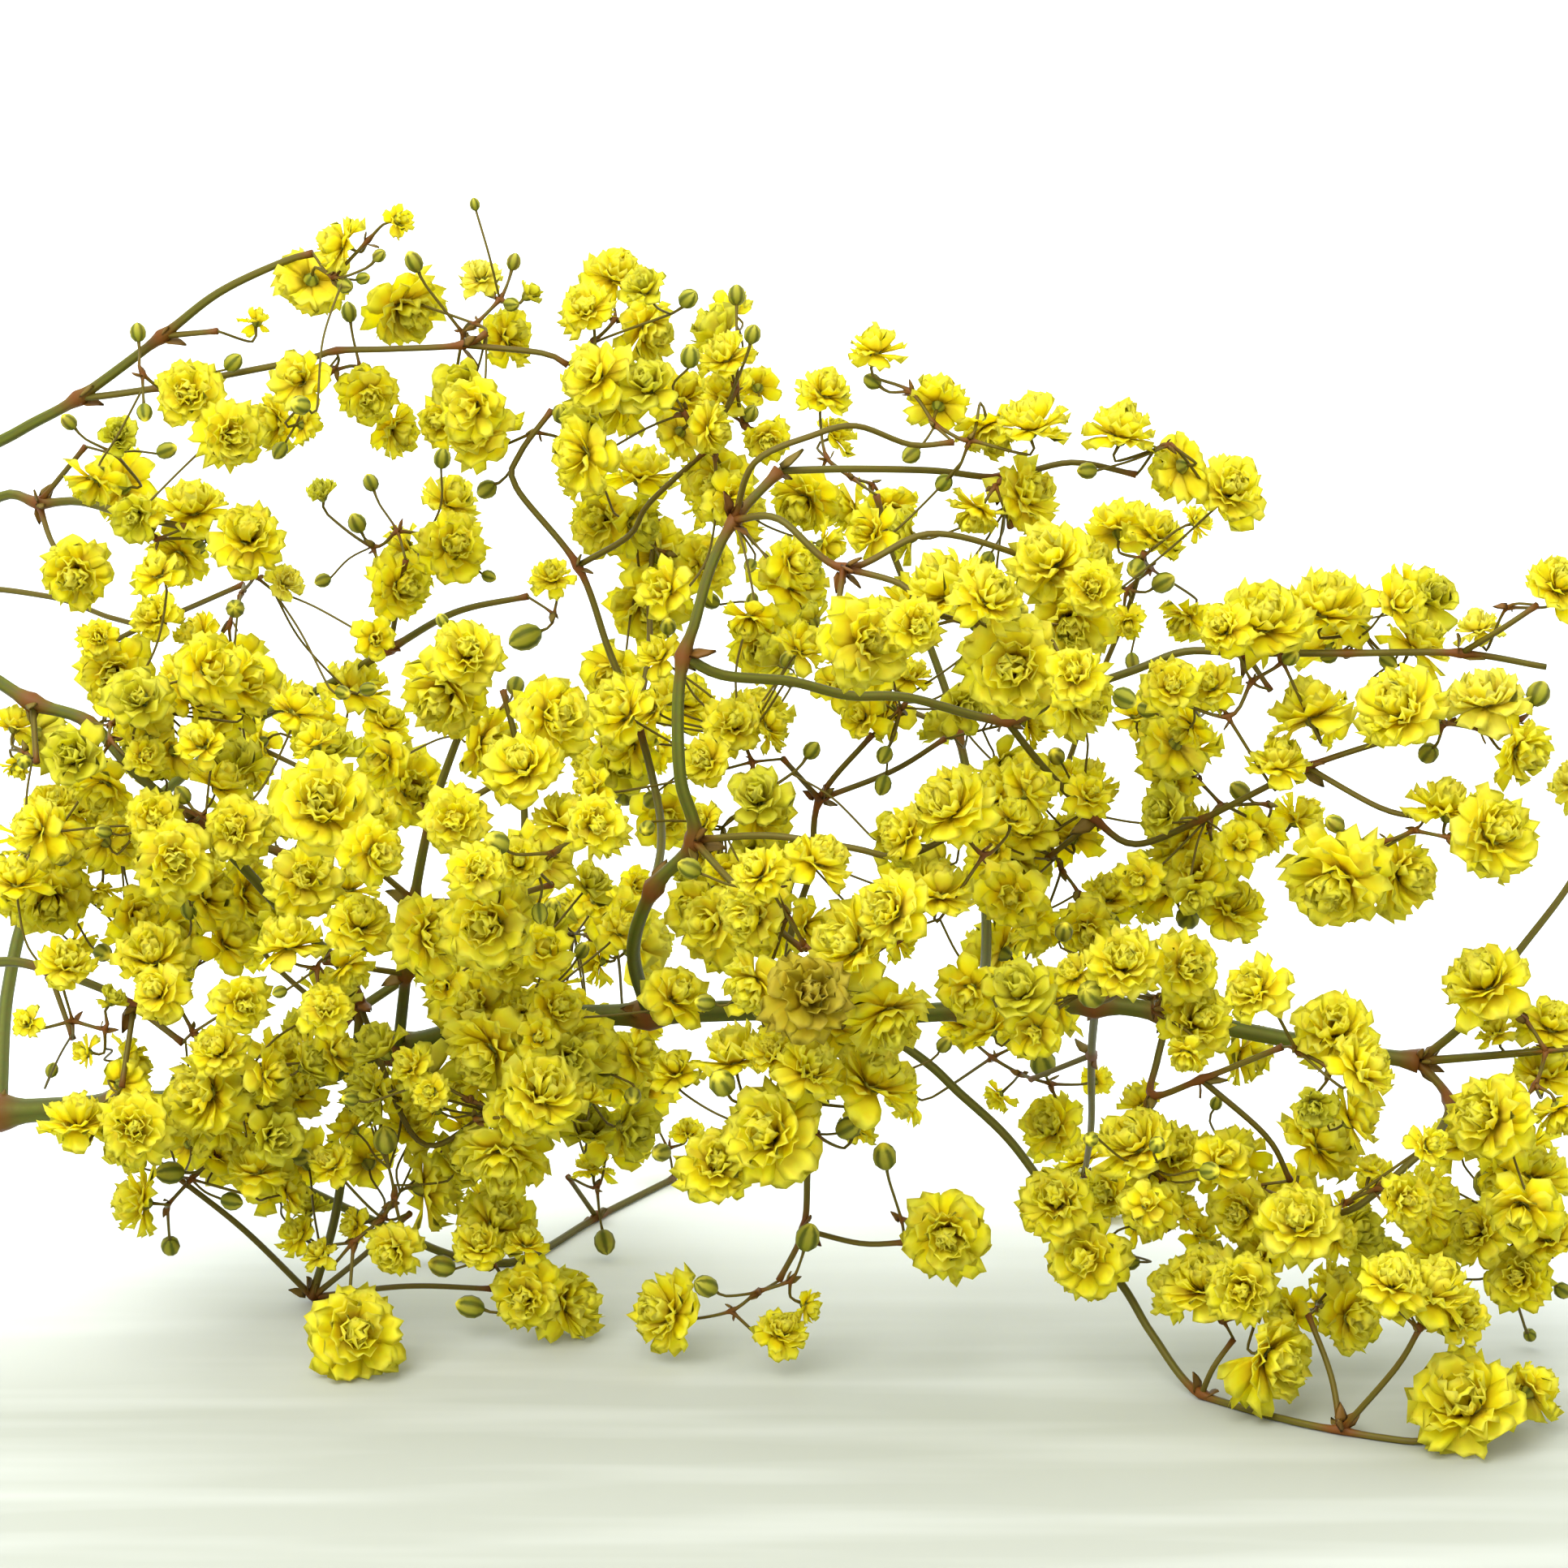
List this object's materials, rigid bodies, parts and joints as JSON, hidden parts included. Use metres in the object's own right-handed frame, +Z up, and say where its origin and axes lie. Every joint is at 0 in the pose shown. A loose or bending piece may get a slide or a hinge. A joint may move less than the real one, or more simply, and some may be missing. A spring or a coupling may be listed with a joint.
{
  "type": "gypsophila stem",
  "caption": "Cut stem of double gypsophila lying on a surface, its forked limbs carrying open sprays of small ruffled blooms and round buds.",
  "frame": {"origin": "middle of the box round the stem, at the surface that it lies on", "axes": "+X from the cut end of the main stem towards the spread crown, +Z up, -Y towards the viewer of the picture"},
  "size_m": [0.2654, 0.1056, 0.1145],
  "materials": {
    "stem": "matte green plant stem",
    "bloom": "dyed yellow petals on thin green stalks"
  },
  "bodies": {
    "root": {"limb_arch": "stem", "limb_arch_curl": "bloom", "limb_arch_front": "bloom", "limb_arch_top": "bloom", "limb_back_centre": "bloom", "limb_back_left": "bloom", "limb_centre_back": "bloom", "limb_centre_low": "bloom", "limb_floor_right": "stem", "limb_high_left": "stem", "limb_inner_back": "bloom", "limb_inner_left": "bloom", "limb_left_back": "bloom", "limb_low_back_left": "bloom", "limb_low_back_right": "bloom", "limb_low_left": "bloom", "limb_low_middle": "bloom", "limb_low_right": "bloom", "limb_middle_left": "stem", "limb_right": "stem", "main_stem": "stem", "spray_01": "bloom", "spray_02": "bloom", "spray_03": "bloom", "spray_04": "bloom", "spray_05": "bloom", "spray_06": "bloom", "spray_12": "bloom", "spray_13": "bloom", "spray_14": "bloom", "spray_15": "bloom", "spray_16": "bloom", "spray_17": "bloom", "spray_18": "bloom", "spray_19": "bloom", "spray_36": "bloom", "spray_37": "bloom", "spray_44": "bloom", "spray_45": "bloom", "spray_46": "bloom", "spray_47": "bloom", "spray_48": "bloom", "spray_49": "bloom", "spray_50": "bloom", "spray_60": "bloom", "spray_61": "bloom", "spray_62": "bloom", "spray_63": "bloom", "spray_64": "bloom", "spray_75": "bloom", "spray_76": "bloom", "spray_77": "bloom", "spray_78": "bloom", "spray_79": "bloom", "spray_80": "bloom"}
  },
  "joints": []
}
